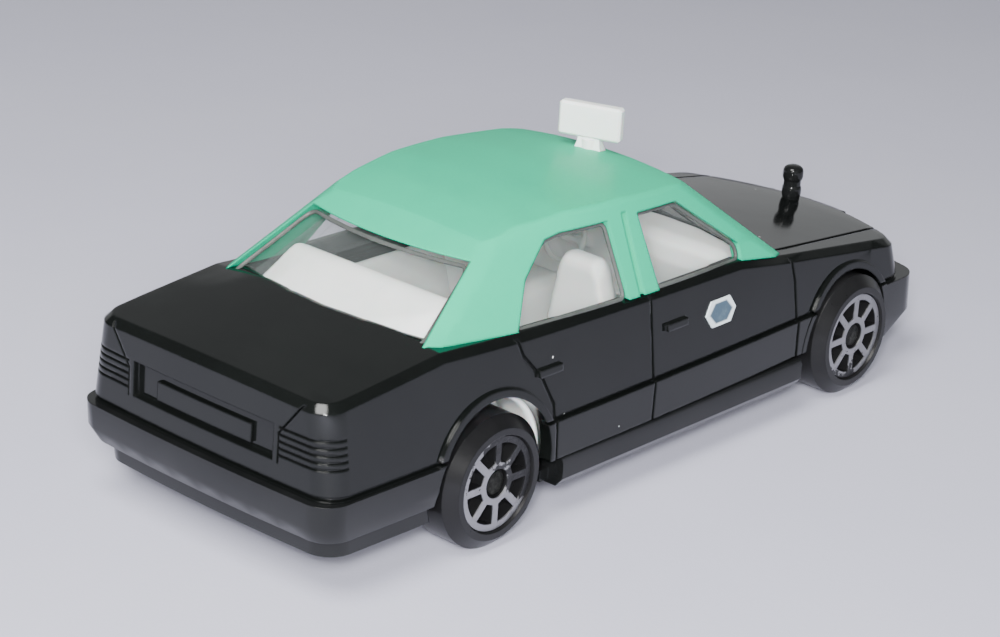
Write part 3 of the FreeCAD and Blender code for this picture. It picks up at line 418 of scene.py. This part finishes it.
def edge_line(name, path, outwards, material):
    """Round line along a closed path just below a surface: path + r * (cos a * out + sin a * across)."""
    out = np.array(outwards) / np.linalg.norm(outwards)
    path = path - edge_depth * out
    ahead = np.roll(path, -1, axis=0) - np.roll(path, 1, axis=0)
    ahead /= np.linalg.norm(ahead, axis=1, keepdims=True)
    out = out - ahead * np.sum(out * ahead, axis=1, keepdims=True)
    out /= np.linalg.norm(out, axis=1, keepdims=True)
    across = np.cross(ahead, out)
    angle = np.linspace(0.0, 2.0 * np.pi, edge_sides, endpoint=False)[None, :, None]
    points = path[:, None] + edge_thickness * (np.cos(angle) * out[:, None] + np.sin(angle) * across[:, None])
    surface_piece(name, points, material, "car", loop_rows=True, loop_columns=True)


glow_reach = 0.0006             # how deep light scatters in white plastic


def moulded_plastic(name, colour, shade, rough_low, rough_high, depth, glow=0.0, index=1.45):
    """Moulded plastic: fine grain, patchy tone and, where it glows, light that scatters just inside."""
    material, nodes, links, surface, place = new_material(name)
    skin = use_group(nodes, links, relief, place, Wave_per_metre=180.0, Wave_depth=depth,
                     Grain_per_metre=5000.0, Grain_depth=depth * 0.5)
    links.new(skin.outputs["Normal"], surface.inputs["Normal"])
    patches = use_group(nodes, links, wear, place, Blotches_per_metre=110.0, Level=0.42, Softness=0.2)
    links.new(mix_colours(nodes, links, patches.outputs["Mask"], colour, shade), surface.inputs["Base Color"])
    links.new(vary(nodes, links, skin.outputs["Grain"], rough_low, rough_high), surface.inputs["Roughness"])
    surface.inputs["IOR"].default_value = index
    if glow:
        surface.inputs["Subsurface Weight"].default_value = glow
        surface.inputs["Subsurface Scale"].default_value = glow_reach
    return material


# dark grey of the window lines: painted shade of the glazing's thick edge, in patches of two tones
window_edge = moulded_plastic("window_edge", (0.050, 0.055, 0.052), (0.085, 0.092, 0.088),
                              rough_low=0.15, rough_high=0.30, depth=0.04)
for end in ("rear", "front"):
    loop = even_loop(window_edges[end], edge_inset, end_loop_points, corner_spread)
    edge_line("window_edge_" + end, end_surface(loop[:, 0], loop[:, 1], end), end_outwards[end], window_edge)
for place in ("rear_side", "front_side"):
    loop = even_loop(window_edges[place], edge_inset, side_loop_points, corner_spread)
    for side, name in ((1.0, "left"), (-1.0, "right")):
        edge_line("window_edge_%s_%s" % (place, name), side_surface(loop[:, 0], loop[:, 1], side),
                  (0.0, side * side_outwards, side_upwards), window_edge)

# ---------------------------------------------------------------- interior
# Seats, shelf and dashboard are one white polystyrene moulding with soft corners, slightly see-through at
# its thin edges. It also carries the curved tubs that show in the rear wheel arches.
white_plastic = moulded_plastic("white_plastic", (0.78, 0.80, 0.79), (0.73, 0.76, 0.74),
                                rough_low=0.40, rough_high=0.55, depth=0.08, glow=0.2)
seat_back_from, seat_back_to = rear_axle_x + 0.0160, rear_axle_x + 0.0200
seat_back_low, seat_back_top = 0.0118, 0.0175
# inner and outer edge of each front seat, and a line just past the outer one
seat_inner_y, seat_outer_y, seat_reach_y = 0.001, 0.0086, 0.0095
seat_back_narrow = 0.36         # share of its width that a seat back loses at its top
seat_back_start = 0.5           # share of that loss at the height where it begins
interior_voxel = 0.00028        # side of the small faces
interior_rounds = 6             # times that they are evened out


def taper_seat_backs(work):
    """Draws the upper part of each front seat's back in towards its outer edge, more with height."""
    for vertex in work.verts:
        x, y, z = vertex.co
        if seat_back_from < x < seat_back_to and z > seat_back_low and seat_inner_y < abs(y) < seat_reach_y:
            height = (z - seat_back_low) / (seat_back_top - seat_back_low)
            share = min(1.0, height * (1.0 - seat_back_start) + seat_back_start)
            outer = math.copysign(seat_outer_y, y)
            vertex.co.y = y + (outer - y) * seat_back_narrow * share


def soften(piece, voxel, rounds):
    """Rebuilds the piece in even small faces and evens them out, which rounds its corners as a mould does."""
    piece.modifiers.clear()
    remesh = piece.modifiers.new("even_faces", "REMESH")
    remesh.mode = "VOXEL"
    remesh.voxel_size = voxel
    remesh.use_smooth_shade = True
    smooth = piece.modifiers.new("soft_corners", "SMOOTH")
    smooth.factor = 0.5
    smooth.iterations = rounds


interior = skin_of("interior", "car", white_plastic, reshape=taper_seat_backs)
soften(interior, interior_voxel, interior_rounds)

tub_radius = 0.00612            # from the middle of the arch to the tub's inner face
tub_middle_z = 0.0059
tub_outer_y, tub_inner_y = 0.0126, 0.0092
tub_wall = 0.0004
tub_from, tub_to = -14.0, 100.0     # degrees from forward towards up
tub_steps_along, tub_steps_across = 40, 6


def arch_tub(side):
    """Curved wall in a rear wheel arch: a strip across the car, carried along an arc from just below the
    level of the axle at the arch's front to its top. Point = middle + radius * (cos a, 0, sin a) + (0, y, 0).
    """
    angle, across = np.meshgrid(np.radians(np.linspace(tub_from, tub_to, tub_steps_along)),
                                np.linspace(tub_outer_y, tub_inner_y, tub_steps_across), indexing="ij")
    points = np.stack([rear_axle_x + tub_radius * np.cos(angle), side * across,
                       tub_middle_z + tub_radius * np.sin(angle)], axis=-1)
    name = "rear_tub_left" if side > 0 else "rear_tub_right"
    piece = surface_piece(name, points, white_plastic, "car")
    wall = piece.modifiers.new("wall", "SOLIDIFY")
    wall.thickness = tub_wall
    wall.offset = 0.0


for side in (1, -1):
    arch_tub(side)

# ---------------------------------------------------------------- base and bumpers
# The base with its sills, held by the body's rivets, and the two bumpers are moulded in smooth black plastic
# that shines nearly as the paint does.
black_plastic = moulded_plastic("black_plastic", (0.0055, 0.0060, 0.0062), (0.0085, 0.0090, 0.0092),
                                rough_low=0.12, rough_high=0.20, depth=0.03, index=1.38)
for node in ("base_plate", "rear_bumper", "front_bumper"):
    skin_of(node, "car", black_plastic)

# ---------------------------------------------------------------- axles
# Plain steel rods with a pressed head at each end, held in the base's lugs. They are blackened, and dulled
# by handling.


def axle_steel():
    """Blackened steel wire: dark, with fine streaks and brighter rubbed spots."""
    material, nodes, links, surface, place = new_material("axle_steel")
    skin = use_group(nodes, links, relief, place, Wave_per_metre=900.0, Wave_depth=0.15,
                     Grain_per_metre=9000.0, Grain_depth=0.2)
    links.new(skin.outputs["Normal"], surface.inputs["Normal"])
    spots = use_group(nodes, links, wear, place, Blotches_per_metre=700.0, Level=0.52, Softness=0.2)
    links.new(mix_colours(nodes, links, spots.outputs["Mask"], (0.018, 0.019, 0.015), (0.07, 0.07, 0.06)),
              surface.inputs["Base Color"])
    links.new(vary(nodes, links, skin.outputs["Grain"], 0.3, 0.55), surface.inputs["Roughness"])
    surface.inputs["Metallic"].default_value = 1.0
    return material


steel = axle_steel()
for node in ("rear_axle", "front_axle"):
    skin_of(node, "car", steel)

# ---------------------------------------------------------------- wheels
# Each wheel is one black moulding, tyre and rim together, with silver foil stamped on the rim's face. On
# each the foil has rubbed away on one side.
wheel_plastic = moulded_plastic("wheel_plastic", (0.0060, 0.0060, 0.0065), (0.0090, 0.0090, 0.0095),
                                rough_low=0.24, rough_high=0.36, depth=0.015, index=1.36)
foil_radius = 0.0038
foil_silver, bared_black = (0.42, 0.42, 0.43), (0.006, 0.006, 0.007)
# noise level above which the foil has gone, where nothing has rubbed it and where most has
whole_level, rubbed_level = 0.60, 0.26


def silver_foil():
    """Hot-stamped foil: bright and finely pitted, rubbed through to the black below. The piece's own "rub"
    attribute, 0 to 1 across the face, raises the share that has gone."""
    material, nodes, links, surface, place = new_material("silver_foil")
    skin = use_group(nodes, links, relief, place, Wave_per_metre=1500.0, Wave_depth=0.25,
                     Grain_per_metre=14000.0, Grain_depth=0.4, Edge_radius=0.00004)
    links.new(skin.outputs["Normal"], surface.inputs["Normal"])
    rub = nodes.new("ShaderNodeAttribute")
    rub.attribute_name = "rub"
    rubbed = use_group(nodes, links, wear, place, Blotches_per_metre=800.0, Softness=0.03)
    links.new(vary(nodes, links, rub.outputs["Fac"], whole_level, rubbed_level), rubbed.inputs["Level"])
    links.new(mix_colours(nodes, links, rubbed.outputs["Mask"], foil_silver, bared_black),
              surface.inputs["Base Color"])
    links.new(vary(nodes, links, rubbed.outputs["Mask"], 1.0, 0.0), surface.inputs["Metallic"])
    links.new(vary(nodes, links, skin.outputs["Grain"], 0.35, 0.55), surface.inputs["Roughness"])
    return material


def mark_rub(piece, direction, start, strength):
    """Writes how far the foil has rubbed away: distance from the hub along a direction in the wheel's plane,
    from none at start to strength at the rim."""
    mesh = piece.data
    points = np.empty(len(mesh.vertices) * 3)
    mesh.vertices.foreach_get("co", points)
    points = points.reshape(-1, 3)
    middle = (points.min(axis=0) + points.max(axis=0)) / 2.0
    turn = math.radians(direction)
    forwards, upwards = points[:, 0] - middle[0], points[:, 2] - middle[2]
    along = (forwards * math.cos(turn) + upwards * math.sin(turn)) / foil_radius
    values = np.clip((along - start) / (1.0 - start), 0.0, 1.0) * strength
    mesh.attributes.new("rub", "FLOAT", "POINT").data.foreach_set("value", values)


foil = silver_foil()
# direction of the rubbed side in degrees from forward towards up, where it starts, and how strong it is
rubbed_sides = {"rear_right": (40.0, -0.1, 1.3), "front_right": (250.0, 0.5, 0.5),
                "rear_left": (200.0, 0.3, 0.8), "front_left": (90.0, 0.2, 0.7)}
for end in ("rear", "front"):
    for side in ("left", "right"):
        corner = "%s_%s" % (end, side)
        skin_of("wheel_" + corner, corner + "_wheel", wheel_plastic)
        face = skin_of("rim_face_" + corner, corner + "_wheel", foil)
        mark_rub(face, *rubbed_sides[corner])

# ---------------------------------------------------------------- roof sign, ornament and plate
# The sign is a blank white moulding on a peg. The ornament, two squat lobes on a stem, and the blank rear
# plate, cast with the body, are black.
skin_of("roof_sign", "car", white_plastic)
ornament_low, ornament_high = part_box("bonnet_ornament")
ornament_radius = (ornament_high[0] - ornament_low[0]) / 2.0
ornament_lobes = ((0.26, 0.25, 0.94), (0.755, 0.245, 1.0))      # middle, half height and radius as shares
ornament_neck = 0.84            # the stem's radius, as a share too
ornament_rings, ornament_sides = 61, 40


def two_lobes():
    """Surface of revolution: radius = the largest of a stem and of two lobes R * (1 - |u| ** 3) ** (1 / 3),
    with u the height from the lobe's middle over its half height."""
    height = np.linspace(0.0, 1.0, ornament_rings)
    radius = np.where(height < ornament_lobes[1][0], ornament_neck, 0.0)
    for middle, half, size in ornament_lobes:
        share = np.clip(np.abs((height - middle) / half), 0.0, 1.0)
        radius = np.maximum(radius, size * (1.0 - share ** 3) ** (1.0 / 3.0))
    radius[0] = radius[-1] = 0.0
    angle = np.linspace(0.0, 2.0 * np.pi, ornament_sides, endpoint=False)[:, None]
    middle_x = (ornament_low[0] + ornament_high[0]) / 2.0
    level = ornament_low[2] + (ornament_high[2] - ornament_low[2]) * height
    points = np.stack([middle_x + ornament_radius * radius * np.cos(angle),
                       ornament_radius * radius * np.sin(angle), level + 0.0 * angle], axis=-1)
    piece = surface_piece("ornament", points, black_plastic, "car", loop_rows=True)
    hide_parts("bonnet_ornament")


two_lobes()
skin_of("rear_plate", "car", black_enamel)

# ---------------------------------------------------------------- door badges
# A thin six-sided badge on each front door, printed in two colours: a white rim round a plain blue-grey
# field, worn a little.
badge_low, badge_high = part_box("badge_right")
badge_middle = [(low + high) / 2.0 for low, high in zip(badge_low, badge_high)]
badge_field = 0.76              # the field's size as a share of the badge's
badge_blur = 0.06               # half of the print's soft line between rim and field, as a share too
badge_slant = 0.5               # how fast the badge's pointed ends narrow with height


def badge_print():
    """Two-colour print: six-sided distance from the badge's middle, cut at the field's edge."""
    material, nodes, links, surface, place = new_material("white_print")
    centred = nodes.new("ShaderNodeMapping")
    centred.inputs["Location"].default_value = (-badge_middle[0], 0.0, -badge_middle[2])
    links.new(place, centred.inputs["Vector"])
    axes = nodes.new("ShaderNodeSeparateXYZ")
    links.new(centred.outputs["Vector"], axes.inputs["Vector"])
    half_long = (badge_high[0] - badge_low[0]) / 2.0
    half_tall = (badge_high[2] - badge_low[2]) / 2.0

    def scaled(source, scale):
        """Absolute value of the source times a scale."""
        size, product = nodes.new("ShaderNodeMath"), nodes.new("ShaderNodeMath")
        size.operation, product.operation = "ABSOLUTE", "MULTIPLY"
        links.new(source, size.inputs[0])
        links.new(size.outputs["Value"], product.inputs[0])
        product.inputs[1].default_value = scale
        return product.outputs["Value"]

    level = scaled(axes.outputs["Z"], 1.0 / half_tall)
    slope, slant = nodes.new("ShaderNodeMath"), nodes.new("ShaderNodeMath")
    slope.operation, slant.operation = "MULTIPLY", "ADD"
    links.new(level, slope.inputs[0])
    slope.inputs[1].default_value = badge_slant
    links.new(scaled(axes.outputs["X"], 1.0 / half_long), slant.inputs[0])
    links.new(slope.outputs["Value"], slant.inputs[1])
    edge = nodes.new("ShaderNodeMath")
    edge.operation = "MAXIMUM"
    links.new(level, edge.inputs[0])
    links.new(slant.outputs["Value"], edge.inputs[1])
    field = nodes.new("ShaderNodeMapRange")
    field.inputs["From Min"].default_value = badge_field - badge_blur
    field.inputs["From Max"].default_value = badge_field + badge_blur
    links.new(edge.outputs["Value"], field.inputs["Value"])
    skin = use_group(nodes, links, relief, place, Wave_per_metre=300.0, Wave_depth=0.05,
                     Grain_per_metre=6000.0, Grain_depth=0.05, Edge_radius=0.00004)
    links.new(skin.outputs["Normal"], surface.inputs["Normal"])
    thin = use_group(nodes, links, wear, place, Blotches_per_metre=900.0, Level=0.5, Softness=0.2)
    blue = mix_colours(nodes, links, thin.outputs["Mask"], (0.05, 0.085, 0.12), (0.12, 0.17, 0.21))
    links.new(mix_colours(nodes, links, field.outputs["Result"], blue, (0.66, 0.73, 0.76)),
              surface.inputs["Base Color"])
    links.new(vary(nodes, links, skin.outputs["Grain"], 0.35, 0.5), surface.inputs["Roughness"])
    return material


print_layer = badge_print()
for side in ("left", "right"):
    skin_of("badge_" + side, "car", print_layer)

# ---------------------------------------------------------------- floor
# A wide sheet of pale matt card that the car stands on, with a faint fibre and slow unevenness. It is no
# part of the toy.
card_reach = 3.0


def card_floor():
    """Level sheet of card with its own material."""
    material, nodes, links, surface, place = new_material("pale_card")
    skin = use_group(nodes, links, relief, place, Wave_per_metre=25.0, Wave_depth=0.1,
                     Grain_per_metre=2500.0, Grain_depth=0.15)
    links.new(skin.outputs["Normal"], surface.inputs["Normal"])
    patches = use_group(nodes, links, wear, place, Blotches_per_metre=9.0, Level=0.4, Softness=0.3)
    links.new(mix_colours(nodes, links, patches.outputs["Mask"], (0.50, 0.50, 0.60), (0.47, 0.47, 0.575)),
              surface.inputs["Base Color"])
    links.new(vary(nodes, links, skin.outputs["Grain"], 0.65, 0.85), surface.inputs["Roughness"])
    mesh = bpy.data.meshes.new("floor")
    mesh.from_pydata([(-card_reach, -card_reach, 0.0), (card_reach, -card_reach, 0.0),
                      (card_reach, card_reach, 0.0), (-card_reach, card_reach, 0.0)], [], [(0, 1, 2, 3)])
    mesh.materials.append(material)
    floor = bpy.data.objects.new("floor", mesh)
    bpy.context.scene.collection.objects.link(floor)


card_floor()

# ---------------------------------------------------------------- light
# One soft light stands above and to the camera's left, and one behind the camera. Long pale walls on both
# sides are what the paint mirrors in place of the second, and small lights near the camera sparkle on the
# rounded corners.
plain_white, warm_white, wall_white = (1.0, 1.0, 1.0), (1.0, 1.0, 0.98), (0.96, 0.98, 1.0)
under_car, in_car = (0.0, 0.0, 0.0), (0.0, 0.0, 0.01)
# name, place, point that it aims at, width, height, power, colour, whether it lights surfaces, and whether
# gloss shows it
room_lights = (
    ("behind_above", (-0.20, -0.05, 0.34), under_car, 0.20, 0.20, 1.9, warm_white, True, True),
    ("camera_side", (-0.25, -0.22, 0.17), in_car, 0.13, 0.13, 3.2, plain_white, True, False),
    ("flash", (-0.175, -0.130, 0.110), in_car, 0.008, 0.008, 0.24, plain_white, True, True),
    ("far_wall", (0.75, 0.65, 0.23), (0.0, 0.0, 0.23), 2.4, 0.46, 1.9, wall_white, False, True),
    ("far_wall_top", (0.72, 0.62, 0.86), (0.0, 0.0, 0.86), 2.4, 0.80, 1.4, wall_white, False, True),
    ("low_glint", (-0.25, -0.22, 0.17), in_car, 0.05, 0.05, 0.5, plain_white, False, True),
    ("near_wall", (-0.75, -0.65, 0.40), (0.0, 0.0, 0.40), 2.4, 0.60, 1.8, wall_white, False, True))


def soft_light(name, place, aim, width, height, power, colour, lit, mirrored):
    """Flat light at a place, turned to face a point: round where it lights surfaces, and else a wall."""
    data = bpy.data.lights.new(name, "AREA")
    data.shape = "ELLIPSE" if lit else "RECTANGLE"
    data.size, data.size_y = width, height
    data.energy = power
    data.color = colour
    light = bpy.data.objects.new(name, data)
    light.location = place
    light.rotation_mode = "QUATERNION"
    light.rotation_quaternion = (Vector(aim) - Vector(place)).to_track_quat("-Z", "Y")
    light.visible_camera = False
    light.visible_diffuse, light.visible_glossy = lit, mirrored
    bpy.context.scene.collection.objects.link(light)


for row in room_lights:
    soft_light(*row)

world = bpy.data.worlds.new("pale_room")
world.use_nodes = True
world.node_tree.nodes["Background"].inputs["Color"].default_value = (0.80, 0.83, 0.86, 1.0)
world.node_tree.nodes["Background"].inputs["Strength"].default_value = 0.09
bpy.context.scene.world = world

# ---------------------------------------------------------------- camera
# It stands above and behind the car's right rear corner, with a long lens and a slight lean. Angles are in
# radians, the lens and its sensor in millimetres.
camera_place = Vector((-0.162497, -0.135352, 0.091815))
camera_yaw, camera_pitch, camera_roll = 0.71201, 0.37339, 0.06248
forward = Vector((math.cos(camera_yaw) * math.cos(camera_pitch),
                  math.sin(camera_yaw) * math.cos(camera_pitch), -math.sin(camera_pitch)))
level_right = forward.cross(Vector((0.0, 0.0, 1.0))).normalized()
level_up = level_right.cross(forward)
right = level_right * math.cos(camera_roll) + level_up * math.sin(camera_roll)
up = level_up * math.cos(camera_roll) - level_right * math.sin(camera_roll)
camera_data = bpy.data.cameras.new("camera")
camera_data.sensor_width = 36.0
camera_data.lens = 97.59
camera_data.clip_start = 0.01
camera = bpy.data.objects.new("camera", camera_data)
camera.rotation_mode = "QUATERNION"
camera.location = camera_place
camera.rotation_quaternion = Matrix((right, up, -forward)).transposed().to_quaternion()
bpy.context.scene.collection.objects.link(camera)
bpy.context.scene.camera = camera
